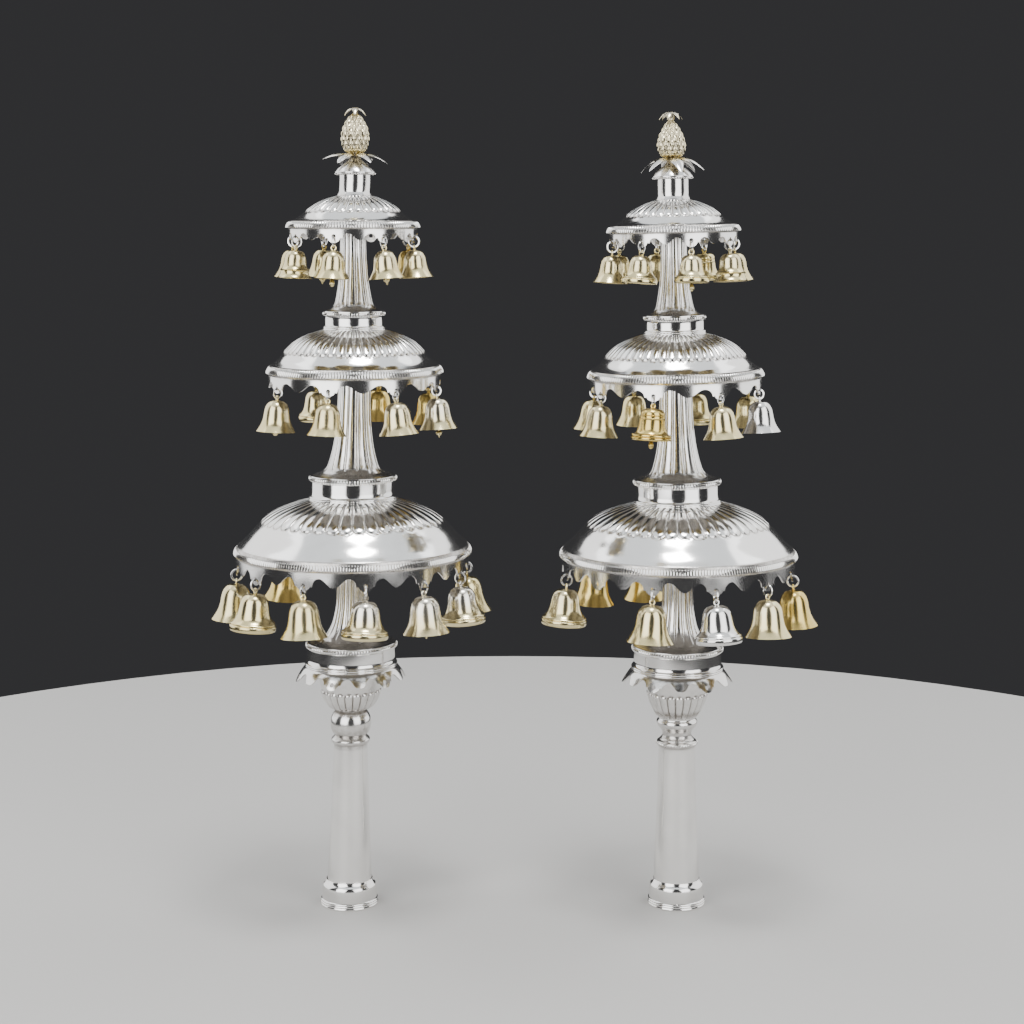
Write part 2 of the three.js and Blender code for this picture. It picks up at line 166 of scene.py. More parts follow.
# A bell's outline from its crown to its mouth, as shares of its radius and its height.
# A list inside a shape is one smooth run, and runs meet at corners.
BELL_SHAPES = {
    "plain": [[(0.14, 1.0), (0.30, 0.985), (0.44, 0.93), (0.55, 0.83), (0.61, 0.72), (0.64, 0.6),
               (0.665, 0.48), (0.715, 0.34), (0.8, 0.21), (0.91, 0.09), (1.0, 0.0)]],
    "lipped": [[(0.14, 1.0), (0.32, 0.985), (0.46, 0.93), (0.565, 0.83), (0.62, 0.7), (0.655, 0.56),
                (0.7, 0.43), (0.77, 0.33), (0.86, 0.26), (0.95, 0.215)],
               [(0.95, 0.215), (0.965, 0.195), (0.945, 0.17)],
               [(0.945, 0.17), (0.99, 0.15), (1.0, 0.1), (0.985, 0.03), (0.96, 0.0)]],
    "stepped": [[(0.14, 1.0), (0.32, 0.985), (0.46, 0.93), (0.56, 0.82), (0.6, 0.68), (0.62, 0.55),
                 (0.67, 0.43), (0.77, 0.33), (0.86, 0.29)],
                [(0.86, 0.29), (0.79, 0.26), (0.79, 0.2), (0.85, 0.1), (0.93, 0.03), (1.0, 0.0)]],
    "banded": [[(0.12, 1.0), (0.34, 0.99), (0.5, 0.95), (0.585, 0.87), (0.6, 0.8)],
               [(0.6, 0.8), (0.645, 0.785), (0.61, 0.765)],
               [(0.61, 0.765), (0.615, 0.7), (0.64, 0.685), (0.625, 0.665)],
               [(0.625, 0.665), (0.65, 0.5), (0.71, 0.35), (0.8, 0.24), (0.88, 0.195)],
               [(0.88, 0.195), (0.975, 0.175), (0.985, 0.13), (0.95, 0.105)],
               [(0.95, 0.105), (1.0, 0.085), (1.0, 0.035), (0.96, 0.0)]],
}

# Clappers: the knob's outline about its middle, as (radius, height)
CLAPPERS = {
    "ball": [(0.28, 1.6), (1.0, 1.3), (1.55, 0.35), (1.6, -0.3), (1.1, -1.2), (0.2, -1.6)],
    "drop": [(0.28, 2.4), (0.8, 1.8), (1.25, 0.6), (1.35, -0.4), (1.0, -1.4), (0.2, -1.9)],
    "pointed": [(0.28, 1.3), (1.2, 1.0), (1.75, 0.2), (1.45, -0.7), (0.6, -1.3), (0.5, -2.0), (0.15, -2.4)],
}

# The bells of each tier: number of the tab that it hangs from, counted to the right from the
# one at the tier's phase, then shape, finish, share of the second colour showing, clapper,
# and how far the clapper hangs below the mouth. HIDDEN is said of those behind that show least.
HIDDEN = ("plain", "gold", 0.0, "ball", -3.0)
BELLS = {
    "left": {
        "lower": [(-3, "plain", "gilt", 0.1, "ball", -2.5), (-2, "lipped", "gilt", 0.1, "ball", -3.0),
                  (-1, "plain", "gilt", 0.1, "drop", -3.0), (0, "lipped", "gilt", 0.75, "ball", -3.0),
                  (1, "plain", "gilt", 0.7, "pointed", 0.6), (2, "lipped", "gilt", 0.8, "ball", -2.0),
                  (3, "plain", "gilt", 0.0, "ball", -3.0), (-5, *HIDDEN)],
        "middle": [(-2, "plain", "gilt", 0.15, "ball", 0.6), (-1, "plain", "gilt", 0.1, "ball", -3.0),
                   (0, "plain", "gilt", 0.25, "ball", -1.0), (1, "plain", "gilt", 0.5, "pointed", 2.2),
                   (2, *HIDDEN), (3, *HIDDEN), (-4, "lipped", "gilt", 0.1, "ball", -3.0)],
        "top": [(-2, "stepped", "gilt", 0.1, "ball", -2.0), (-1, "plain", "gilt", 0.1, "drop", 2.2),
                (0, "plain", "gilt", 0.2, "pointed", 0.8), (1, "plain", "gilt", 0.15, "ball", -2.0),
                (2, "plain", "gold", 0.0, "ball", -2.0), (-4, "plain", "gilt", 0.0, "pointed", 2.0),
                (-3, "plain", "gilt", 0.0, "ball", -2.0)],
    },
    "right": {
        "lower": [(-3, "lipped", "gilt", 0.2, "ball", -2.0), (-1, "plain", "gilt", 0.1, "ball", -3.0),
                  (0, "lipped", "silver", 0.0, "drop", 1.5), (1, "plain", "gilt", 0.2, "ball", -2.0),
                  (2, "plain", "gold", 0.0, "ball", -2.0), (-5, *HIDDEN), (-6, *HIDDEN)],
        "middle": [(-2, "plain", "gilt", 0.2, "ball", -1.0), (-1, "banded", "gold", 0.0, "drop", 2.6),
                   (0, "plain", "gilt", 0.15, "ball", -3.0), (1, "plain", "silver", 0.0, "ball", -1.0),
                   (2, "plain", "gilt", 0.0, "ball", -3.0), (3, "lipped", "gilt", 0.0, "ball", -3.0),
                   (-4, "plain", "gilt", 0.0, "ball", -3.0), (-3, "plain", "gilt", 0.0, "ball", -3.0)],
        "top": [(0, "lipped", "gilt", 0.2, "drop", 2.4), (-1, "lipped", "gilt", 0.15, "ball", -2.0),
                (-2, "plain", "gilt", 0.1, "ball", -2.0), (1, "stepped", "gilt", 0.2, "ball", -2.0),
                (3, "banded", "gilt", 0.0, "ball", -2.0), (-4, "plain", "gilt", 0.0, "ball", -2.0),
                (-3, "plain", "gilt", 0.0, "ball", -2.0), (2, "plain", "gilt", 0.1, "ball", -2.0)],
    },
}

# The two towers. At a height, bend is how far the axis has drifted sideways, tilt the lean
# in degrees and lift how far the pieces sit above the common height. phase is the angle at
# which the counting of the tabs starts.
TOWERS = {
    "left": {
        "side": -1, "bells": BELLS["left"],
        "bend": [(0, 0), (89, 1.3), (133, 1.9), (192, 3.3), (224, 3.3), (290, 4.9), (372, 4.4),
                 (390, 5.8), (430, 6.0)],
        "tilt": [(0, 0), (430, 0)],
        "lift": [(0, 0), (430, 0)],
        "phase": {"collar": -16.4, "lower": 10.6, "middle": 32.3, "top": 32.5},
        "tube": [(12.0, 14.6), (11.25, 31.0), (10.2, 58.0), (9.05, 88.7)],
        "collar": [(9.9, 89.3), (10.35, 90.3), (10.3, 91.4), (9.4, 92.4)],
        "collar_beads": None,
        "knop": [(8.4, 93.4), (9.7, 94.9), (10.7, 97.4), (10.95, 100.2), (10.5, 103.2), (9.2, 105.8),
                 (7.7, 107.2)],
        "cup": [(8.0, 107.9), (9.4, 108.5), (11.6, 109.9), (13.4, 112.2), (15.0, 115.4), (16.0, 118.8)],
        "bowl": [(16.0, 118.8), (16.9, 122.4), (17.7, 126.6), (18.4, 131.3)],
        "lobes": 22,
        "fruit": [(3.2, 405.2), (5.3, 406.8), (6.6, 409.6), (7.1, 413.0), (6.7, 416.8), (5.2, 421.0),
                  (2.9, 424.6), (1.2, 426.0)],
        "stalk": [(1.2, 426.0), (1.0, 427.2), (1.5, 428.4), (1.7, 429.1)],
        "leaf_droops": (4.6, 5.0, 2.2, 4.6, 2.4, 4.8),
    },
    "right": {
        "side": 1, "bells": BELLS["right"],
        "bend": [(0, 0), (89, -0.3), (192, -0.3), (232, -1.1), (290, -2.4), (367, -4.0),
                 (395, -4.6), (415, -5.6), (430, -6.0)],
        "tilt": [(0, 0), (200, 0), (240, 1.2), (430, 1.2)],
        "lift": [(0, 0), (108, 0), (128, -2.2), (430, -2.2)],
        "phase": {"collar": 29.2, "lower": 13.3, "middle": 25.8, "top": 10.9},
        "tube": [(12.3, 14.6), (11.8, 31.0), (10.6, 58.0), (9.85, 86.5)],
        "collar": [(10.2, 87.4), (10.8, 88.2), (10.8, 89.9), (10.0, 90.6), (9.3, 90.9), (9.3, 91.3)],
        "collar_beads": (10.7, 89.2, 0.75),
        "knop": [(8.4, 92.2), (7.9, 93.4), (7.95, 95.0), (8.9, 96.8), (10.4, 98.6), (11.05, 100.2),
                 (10.7, 101.6), (9.9, 102.7)],
        "cup": [(10.1, 103.6), (11.0, 105.2), (12.7, 108.2), (14.3, 111.8), (15.4, 115.4), (16.2, 118.6)],
        "bowl": [(16.2, 118.6), (17.0, 122.4), (17.8, 126.8), (18.4, 131.3)],
        "lobes": 22,
        "fruit": [(3.2, 405.2), (5.6, 406.6), (6.9, 409.0), (7.2, 411.6), (6.6, 415.0), (5.2, 418.6),
                  (3.3, 422.0), (1.2, 424.8)],
        "stalk": [(1.2, 424.8), (1.3, 426.2), (2.0, 427.8), (2.4, 429.0)],
        "leaf_droops": (7.4, 6.4, 7.0, 6.8, 7.2, 6.6),
    },
}

# The sockets' foot and bore, alike on both. A reed is two points, its swelling and its steps.
SOCKET_COLUMNS = 220
FOOT = {"reeds": [((15.75, 0.0), (15.75, 1.6), 0.25, 6), ((15.6, 1.6), (15.45, 2.7), 0.22, 5),
                  ((15.4, 2.7), (15.25, 3.7), 0.2, 5)],
        "band": [(14.9, 3.9), (14.6, 10.8)],
        "shoulder": [(14.2, 11.7), (13.2, 12.9), (12.5, 14.2)]}
BORE = [(7.7, 86.0), (10.5, 0.0)]
BORE_STEPS = 12
# Painted shade inside the bore, and by height in dark bands about the collar and where the knop meets the
# cup
BORE_PAINTED_SHADE = 0.7
SOCKET_PAINTED_SHADE = [(86.5, 0), (88, 0.6), (91, 0.3), (92.5, 0.6), (104, 0.1), (106.5, 0.9), (109, 0.2)]

# The cap, from its foot up
CAP = {
    "drum": [(9.4, 382.9), (8.9, 384.0), (8.3, 385.2)],
    "drum_top": (8.3, 394.0),
    "brim": (10.8, 395.0),
    "cone": [(10.8, 395.4), (9.2, 397.6), (6.6, 399.8), (4.4, 401.0), (3.0, 402.4)],
    "neck": [(3.0, 402.4), (2.7, 404.2), (3.2, 405.2)],
    "brim_beads": 54, "fruit_rows": 8, "fruit_studs": 12,
}
BASE_LEAF = {"count": 6, "z": 404.6, "root": 2.4, "reach": 17.4, "width": 6.6, "thickness": 0.7,
             "rise": 1.4, "fold": 0.34}
TUFT_LEAF = {"count": 6, "z": 428.4, "root": 0.6, "reach": 6.4, "width": 3.0, "thickness": 0.55,
             "rise": 1.1, "fold": 0.3}
TUFT_DROOP = 3.4
CAP_COLUMNS = 96
# Painted shade on the cap by height: darker at its foot and darkest at the neck under the leaves
CAP_PAINTED_SHADE = [(383, 0.3), (385, 0.05), (394, 0.1), (395, 0.1), (400, 0.3), (402, 0.9), (405, 0.9)]

# Old gilding left on the silver, by height and by distance from the axis
GILDING_BY_HEIGHT = [(401, 0.0), (404, 0.8), (426, 0.8), (430, 0.3)]
GILDING_BY_RADIUS = [(7.5, 1.0), (12, 0.15)]

# The finishes of the record: clean, dull (tarnish and painted shade) and second colour,
# roughness when clean, how far spots of tarnish spread, and how uneven the surface is
BARE_SILVER = (0.90, 0.89, 0.87)
OLD_GILDING = (0.82, 0.72, 0.42)
FINISHES = {
    "silver": {"bright": BARE_SILVER, "dull": (0.20, 0.17, 0.14), "second": OLD_GILDING,
               "roughness": 0.13, "spread": 0.10, "wave": 0.22},
    "gilt": {"bright": (0.82, 0.71, 0.38), "dull": (0.34, 0.25, 0.08), "second": BARE_SILVER,
             "roughness": 0.17, "spread": 0.24, "wave": 0.25},
    "gold": {"bright": (0.76, 0.58, 0.20), "dull": (0.32, 0.22, 0.05), "second": BARE_SILVER,
             "roughness": 0.19, "spread": 0.26, "wave": 0.25},
}
# How much rougher a surface grows with its tarnish and painted shade
TARNISH_AND_SHADE_ROUGHNESS = 0.26
SHARP_EDGE = math.radians(38)

# The floor, with its radius in metres, and the air
FLOOR_RADIUS = 0.62
FLOOR_COLOUR = (0.52, 0.51, 0.495)
FLOOR_ROUGHNESS = 0.8
AIR_COLOUR = (0.035, 0.035, 0.037)

# The softboxes, in metres and watts. They are turned to the pair's middle where no aim is given.
PAIR_MIDDLE = (0.0, 0.0, 0.24)
SOFTBOXES = {
    "left_softbox": {"place": (-0.74, -0.98, 0.62), "size": (0.95, 1.3), "power": 15},
    "right_softbox": {"place": (0.78, -0.94, 0.62), "size": (0.9, 1.3), "power": 12},
    "left_edge_softbox": {"place": (-1.05, 0.5, 0.72), "size": (1.4, 1.6), "power": 13},
    "right_edge_softbox": {"place": (1.05, 0.5, 0.72), "size": (1.4, 1.6), "power": 13},
    "top_softbox": {"place": (0.0, 0.0, 1.6), "size": (2.6, 2.0), "power": 20,
                    "aim": (0.0, 0.0, 0.2), "tint": (0.93, 0.97, 1.0)},
    "diamond_softbox": {"place": (0.06, -0.25, 1.4), "size": (0.3, 0.3), "power": 8,
                        "aim": (0.0, 0.0, 0.25), "roll": math.pi / 4},
}

# Camera: where the photograph was taken from
CAMERA_DISTANCE = 1.046
CAMERA_X = -0.0009
CAMERA_HEIGHT = 0.366
CAMERA_PITCH = math.radians(4.95)
CAMERA_SHIFT = -0.1105
CAMERA_LENS = 69.25
SENSOR_WIDTH = 36.0


# Outlines

def smooth(points, step=0.8):
    """A smooth line through the points, a point about every step: Catmull-Rom, where between
    two points the line is half of (2 p1 + (p2 - p0) t + (2 p0 - 5 p1 + 4 p2 - p3) t^2
    + (3 p1 - p0 - 3 p2 + p3) t^3)."""
    p = np.array(points, float)
    p = np.vstack([2 * p[0] - p[1], p, 2 * p[-1] - p[-2]])
    spans = []
    for p0, p1, p2, p3 in zip(p[:-3], p[1:-2], p[2:-1], p[3:]):
        count = max(2, int(math.ceil(np.linalg.norm(p2 - p1) / step)))
        t = np.linspace(0, 1, count, endpoint=False)[:, None]
        spans.append(0.5 * (2 * p1 + (p2 - p0) * t + (2 * p0 - 5 * p1 + 4 * p2 - p3) * t ** 2
                            + (3 * p1 - p0 - 3 * p2 + p3) * t ** 3))
    return np.vstack([*spans, p[-2:-1]])


def swell(start, end, height, count=6):
    """A half-round moulding between two points: the chord's points moved along its right-hand
    normal by height times the sine of the way along."""
    start, end = np.array(start, float), np.array(end, float)
    t = np.linspace(0, 1, count)
    chord = end - start
    normal = np.array([chord[1], -chord[0]]) / np.linalg.norm(chord)
    return start + t[:, None] * chord + height * np.sin(math.pi * t)[:, None] * normal


def line(start, end, count=4):
    """Points evenly along a straight stretch."""
    return np.linspace(np.array(start, float), np.array(end, float), count)


def chained(*runs):
    """Runs of an outline, one after the other, without the points that they share."""
    points = np.vstack([np.asarray(run, float) for run in runs])
    apart = np.linalg.norm(np.diff(points, axis=0), axis=1) > 1e-6
    return points[np.concatenate([[True], apart])]


def read_off(table, at):
    """Values read off a table of (place, value) pairs, straight between two of them."""
    return np.interp(at, *np.array(table, float).T)


# Patches: arrays of points with their faces and how much tarnish and painted shade each point has

def patch(points, faces, tarnish=0.0):
    """One patch from its points, its list of faces and a value or array of tarnish and painted shade."""
    points = np.asarray(points, float).reshape(-1, 3)
    tarnish = np.broadcast_to(np.ravel(np.asarray(tarnish, float)), len(points))
    return {"points": points, "faces": faces, "tarnish": tarnish}


def united(patches):
    """Patches as one, each keeping its own points."""
    faces, start = [], 0
    for one in patches:
        faces += [[index + start for index in face] for face in one["faces"]]
        start += len(one["points"])
    return {"points": np.vstack([one["points"] for one in patches]), "faces": faces,
            "tarnish": np.concatenate([one["tarnish"] for one in patches])}


def grid_faces(rows, columns, kept=None):
    """The quads of a grid whose point (k, j) has number k * columns + j, wrapping round."""
    k = np.arange(rows - 1)[:, None] * columns
    j = np.arange(columns)
    after = (j + 1) % columns
    quads = np.stack([k + j, k + after, k + columns + after, k + columns + j], axis=-1)
    if kept is not None:
        return quads[kept].tolist()
    return quads.reshape(-1, 4).tolist()


def end_faces(rows, columns):
    """The two flat faces that close a grid's first and last rows."""
    return [list(range(columns))[::-1], list(range((rows - 1) * columns, rows * columns))]


def closed_grid(points, tarnish=0.0):
    """A grid that wraps round, closed at both ends. Its tarnish and painted shade is one value,
    or a value for each row or each point."""
    rows, columns = points.shape[:2]
    faces = grid_faces(rows, columns) + end_faces(rows, columns)
    return patch(points, faces, np.broadcast_to(tarnish, (rows, columns)))


def around(angle, radius, height):
    """Points (r sin a, -r cos a, z) of a tower, from arrays that match."""
    angle, radius, height = np.broadcast_arrays(angle, radius, height)
    return np.stack([radius * np.sin(angle), -radius * np.cos(angle), height], axis=-1)


def swept(profile, angle):
    """Points of a profile swept round a tower."""
    return around(angle, profile[:, :1], profile[:, 1:])


def column_angles(columns, phase=0.0):
    """Angles of a round's columns, the first at the phase, in degrees."""
    return math.radians(phase) + TURN * np.arange(columns) / columns


def run_lengths(profile):
    """How far along a profile each of its points lies."""
    return np.concatenate([[0], np.cumsum(np.linalg.norm(np.diff(profile, axis=0), axis=1))])


def normals(profile):
    """Unit normals of a profile, to the right of its direction."""
    slope = np.gradient(profile, axis=0)
    slope /= np.maximum(np.linalg.norm(slope, axis=1), 1e-9)[:, None]
    return np.stack([slope[:, 1], -slope[:, 0]], axis=-1)


def tongues(angle, count, inside, radius, crest, groove, width):
    """Rounded ribs side by side that end in round tongues, as (move, sunk) arrays, sunk
    marking the grooves that the callers darken as painted shade. With w the half width of a
    rib, u the place across it from -1 to 1, v = 1 - inside / w where that is above 0, and
    q = sqrt(u^2 + v^2), a rib stands crest * sqrt(1 - q^2) proud, and a groove
    groove * exp(-((q - 1) w / width)^2) deep runs round it."""
    half = math.pi * radius[:, None] / count
    u = 2 * np.mod(angle[None, :] * count / TURN + 0.5, 1.0) - 1
    v = np.clip(1 - inside[:, None] / half, 0, None)
    q = np.sqrt(u ** 2 + v ** 2)
    sunk = np.exp(-((q - 1) * half / width) ** 2)
    return crest * np.sqrt(np.clip(1 - q ** 2, 0, 1)) - groove * sunk, sunk


def moved(profile, move):
    """Radius and height grids of a profile swept round, each point moved along its normal."""
    direction = normals(profile)
    return (profile[:, :1] + direction[:, :1] * move, profile[:, 1:] + direction[:, 1:] * move)


def bead_ring(start, end, size=BEAD_SIZE, pitch=BEAD_PITCH, tarnish=0.0):
    """Beads side by side round a tower, each lying along the profile from start to end: at
    the share t of its length a bead is size * (4 t (1 - t))^0.4 thick."""
    start, end = np.array(start, float), np.array(end, float)
    count = int(round(TURN * (start[0] + end[0]) / 2 / pitch))
    sides = 6
    t = np.array([0.02, 0.18, 0.5, 0.82, 0.98])[:, None]
    b = TURN * np.arange(sides)[None, :] / sides
    along = (end - start) / np.linalg.norm(end - start)
    thick = size * (4 * t * (1 - t)) ** 0.4
    radius = start[0] + t * (end[0] - start[0]) - along[1] * thick * np.cos(b)
    height = start[1] + t * (end[1] - start[1]) + along[0] * thick * np.cos(b)
    turns = TURN * np.arange(count)[:, None, None] / count + (thick * np.sin(b) / radius)[None]
    one = closed_grid(around(turns[0], radius, height))
    firsts = np.arange(count) * len(one["points"])
    faces = [[index + first for index in face] for first in firsts.tolist() for face in one["faces"]]
    return patch(around(turns, radius[None], height[None]), faces, tarnish)


def torus(centre, ring_radius, wire, across, up, steps=28, sides=8):
    """A ring of wire: centre + (R + r cos b)(cos a across + sin a up) + r sin b (across x up)."""
    across, up = np.array(across, float), np.array(up, float)
    a = TURN * np.arange(steps)[:, None] / steps
    b = TURN * np.arange(sides)[None, :] / sides
    reach = ring_radius + wire * np.cos(b)
    points = (np.array(centre, float)
              + (reach * np.cos(a))[..., None] * across
              + (reach * np.sin(a))[..., None] * up
              + (wire * np.sin(b) + 0 * a)[..., None] * np.cross(across, up))
    points = np.concatenate([points, points[:1]])
    faces = grid_faces(steps + 1, sides)
    faces = [[index % (steps * sides) for index in face] for face in faces]
    return patch(points[:-1], faces)


# Bending with the tower

def leaned(tower, points):
    """Points of a straight tower where the leaning tower has them: x' = x cos t + bend,
    z' = z + x sin t + lift, with tilt t, bend and lift read off at height z."""
    x, y, z = points[:, 0], points[:, 1], points[:, 2]
    at = {key: read_off(tower[key], z) for key in ("tilt", "bend", "lift")}
    tilt = np.radians(at["tilt"])
    return np.stack([x * np.cos(tilt) + at["bend"], y, z + x * np.sin(tilt) + at["lift"]], axis=-1)


def placed(tower, points):
    """Points of a tower moved to its place in the pair."""
    offset = [tower["side"] * AXIS_SPACING / 2 - PAIR_CENTRE[0], PAIR_CENTRE[1], 0]
    return points + np.array(offset)


# Aprons and collars

def edge_of_period(tier, half_length, steps):
    """The lower edge from a tab's middle to the next point's, as (distance, drop) at each
    column: a round lobe about the hole, a short ledge, a quarter ellipse up to the top of
    the arc, and half a cosine wave down to the point."""
    lobe_steps, arc_steps = round(LOBE_SHARE * steps), round(ARC_SHARE * steps)
    wave_steps = steps - lobe_steps - LEDGE_STEPS - arc_steps
    lobe = tier["tab_drop"] - tier["hole_drop"]
    opening = math.acos(np.clip((tier["ledge_drop"] - tier["hole_drop"]) / lobe, -1, 1))
    turn = np.linspace(0, opening, lobe_steps + 1)
    curve = [np.stack([LOBE_RADIUS * np.sin(turn), tier["hole_drop"] + lobe * np.cos(turn)], axis=-1)]
    ledge_start = curve[0][-1, 0]
    ledge_end, ledge_drop = ledge_start + LEDGE_LENGTH, tier["ledge_drop"] + LEDGE_FALL
    curve.append(line((ledge_start, tier["ledge_drop"]), (ledge_end, ledge_drop), LEDGE_STEPS + 1)[1:])
    arc_x = ledge_end + ARC_PLACE * (half_length - ledge_end)
    turn = np.linspace(0, math.pi / 2, arc_steps + 1)[1:]
    rise = ledge_drop - tier["arc_drop"]
    curve.append(np.stack([arc_x - (arc_x - ledge_end) * np.cos(turn),
                           tier["arc_drop"] + rise * (1 - np.sin(turn))], axis=-1))
    way = np.linspace(0, 1, wave_steps + 1)[1:]
    fall = tier["point_drop"] - tier["arc_drop"]
    curve.append(np.stack([arc_x + (half_length - arc_x) * way,
                           tier["arc_drop"] + fall * (1 - np.cos(math.pi * way)) / 2], axis=-1))
    return np.vstack(curve)


def apron_grid(tier, radius):
    """Distance from its tab's middle and drop below the rim of every point of an apron:
    straight lines from the root down to the edge, opened into a circle round each hole."""
    top_drop = tier["apron_top"]
    steps = tier["columns"] // (2 * tier["tabs"])
    half_length = math.pi * radius / tier["tabs"]
    edge = edge_of_period(tier, half_length, steps)
    m = (np.arange(tier["columns"]) + steps) % (2 * steps) - steps
    edge_x = np.sign(m) * edge[np.abs(m), 0]
    edge_drop = edge[np.abs(m), 1]
    root_x = m * half_length / steps
    hole_share = (tier["hole_drop"] - top_drop) / (tier["tab_drop"] - top_drop)
    hole_row = int(round(hole_share * APRON_ROWS))
    hole_row = min(max(hole_row, HOLE_HALF + 1), APRON_ROWS - HOLE_HALF - 1)
    v = np.interp(np.arange(APRON_ROWS + 1), [0, hole_row, APRON_ROWS], [0, hole_share, 1])[:, None]
    x = root_x + v * (edge_x - root_x)
    drop = top_drop + v * (edge_drop - top_drop)
    a = m[None, :] + np.zeros_like(v)
    b = (np.arange(APRON_ROWS + 1) - hole_row)[:, None] + 0 * m[None, :]
    square = np.maximum(np.abs(a), np.abs(b))
    turn = np.arctan2(b, a)
    pull = np.clip((HOLE_REACH + 1 - square) / (HOLE_REACH + 1 - HOLE_HALF), 0, 1)
    size = HOLE_RADIUS * square / HOLE_HALF
    x = x + pull * (size * np.cos(turn) - x)
    drop = drop + pull * (tier["hole_drop"] + size * np.sin(turn) - drop)
    return x, drop, m, hole_row


def hole_rim(m, columns, hole_row):
    """For each tab, the (row, column) pairs that run round the edge of its hole. m is each
    column's number from its tab's middle."""
    h = HOLE_HALF
    walk = ([(-h, j) for j in range(-h, h)] + [(i, h) for i in range(-h, h)]
            + [(h, j) for j in range(h, -h, -1)] + [(i, -h) for i in range(h, -h, -1)])
    starts = np.flatnonzero(m == 0)
    return [[(hole_row + i, (start + j) % columns) for i, j in walk] for start in starts]


def scalloped(rows_before, front, back, rows_after, hole_row, m, tarnish):
    """One closed skin from grids of rows: those before the apron, its front from the root
    down, its back from the edge up, and those after it, with a hole through every tab."""
    points = np.concatenate([rows_before, front, back, rows_after])
    rows, columns = points.shape[:2]
    kept = np.ones((rows - 1, columns), bool)
    near = (m >= -HOLE_HALF) & (m < HOLE_HALF)
    front_row = len(rows_before)
    back_row = front_row + len(front) + len(back) - 1
    kept[front_row + hole_row - HOLE_HALF: front_row + hole_row + HOLE_HALF, near] = False
    kept[back_row - hole_row - HOLE_HALF: back_row - hole_row + HOLE_HALF, near] = False
    faces = grid_faces(rows, columns, kept)
    for rim in hole_rim(m, columns, hole_row):
        outer = [(front_row + row) * columns + column for row, column in rim]
        inner = [(back_row - row) * columns + column for row, column in rim]
        for i in range(len(rim)):
            after = (i + 1) % len(rim)
            faces.append([outer[i], outer[after], inner[after], inner[i]])
    return patch(points, faces + end_faces(rows, columns), tarnish)


# The domes

def dome_patches(tower, tier_name):
    """A dome: gadrooned crown, plain band, milled rim, scalloped apron with pierced tabs, and
    the hollow under it."""
    tier = TIERS[tier_name]
    angle = column_angles(tier["columns"], tower["phase"][tier_name])
    rim_z = tier["rim_z"]
    crown = smooth(tier["crown"], 0.8)
    lengths = run_lengths(crown)
    tongue_end = np.interp(tier["tongue_radius"], crown[:, 0], lengths)
    move, sunk = tongues(angle, tier["gadroons"], tongue_end - lengths, crown[:, 0], **GADROON)
    crown_r, crown_z = moved(crown, -move)
    apron_top = tier["apron_top"]
    mouldings = chained(swell(*tier["ridge"], -0.2, 5)[1:], line(*tier["milled"], 4),
                        line(tier["milled"][1], (tier["apron_radius"], rim_z - apron_top), 3))
    rows_before = np.concatenate([around(angle, crown_r, crown_z), swept(mouldings, angle)])
    outer, inner = tier["apron_radius"], tier["apron_radius"] - APRON_WALL
    x, drop, m, hole_row = apron_grid(tier, outer)
    middle = angle - m * TURN / tier["columns"]
    front = around(middle + x / outer, outer, rim_z - drop)
    back = around(middle + x / outer, inner, rim_z - drop)[::-1]
    rows_after = swept(smooth(tier["inside"], 2.5), angle)
    # Painted shade: darker in the gadroon grooves, on the band behind the beads so the gaps between them
    # look deep, on the apron just under the rim, on the apron's back and inside the hollow under the dome
    under_rim = np.exp(-(drop - apron_top) / 0.35)
    shade = np.concatenate([0.85 * sunk, np.full((len(mouldings), tier["columns"]), 0.6),
                            0.05 + 0.6 * under_rim,
                            np.full((len(back), tier["columns"]), 0.45),
                            np.full((len(rows_after), tier["columns"]), 0.75)])
    skin = scalloped(rows_before, front, back, rows_after, hole_row, m, shade)
    beads = bead_ring(*[(radius + BEAD_STAND, height) for radius, height in tier["milled"]])
    links = [link_patch(tier, tab_angle(tower, tier_name, bell[0])) for bell in tower["bells"][tier_name]]
    return united([skin, beads, *links])


def tab_angle(tower, tier_name, tab):
    """The angle of a tab, counted from the one at the tier's phase."""
    return math.radians(tower["phase"][tier_name]) + tab * TURN / TIERS[tier_name]["tabs"]


def link_middle(tier, angle):
    """The middle of a tab's link: its own radius below the hole, in the apron's wall."""
    radius = tier["apron_radius"] - APRON_WALL / 2
    return around(angle, radius, tier["rim_z"] - tier["hole_drop"] - tier["link_radius"])


def link_patch(tier, angle):
    """A link: a ring of wire that stands in the plane through the tower's axis."""
    out, up = [math.sin(angle), -math.cos(angle), 0], [0, 0, 1]
    return torus(link_middle(tier, angle), tier["link_radius"], LINK_WIRE, out, up, steps=24, sides=6)


# The stems

def reeds(radius, low, high, count, depth=0.22):
    """Reeds side by side up a foot, each a half-round moulding."""
    heights = np.linspace(low, high, count + 1)
    return chained(*[swell((radius, a), (radius, b), depth, 5) for a, b in zip(heights, heights[1:])])


def drum_profile(stem):
    """A drum from its foot to its rim: reeds, a step in to the band, the milled rim's back
    and the plain bead on top of it."""
    foot, band = stem["foot_radius"], stem["band_radius"]
    back = stem["rim_radius"] - BEAD_SIZE - BEAD_STAND
    reed_top = stem["foot_z"] + 2.0
    low, high = stem["rim_z"], stem["rim_top"] - 0.6
    return chained(reeds(foot, stem["foot_z"], reed_top, 2),
                   swell((foot, reed_top), (band, stem["band_z"]), -0.2, 5),
                   line((band, stem["band_z"]), (band, low - 0.5), 5),
                   line((band, low - 0.5), (back, low), 3),
                   line((back, low), (back, high), 3),
                   swell((back, high), (back - 0.5, stem["rim_top"]), 0.3, 6))


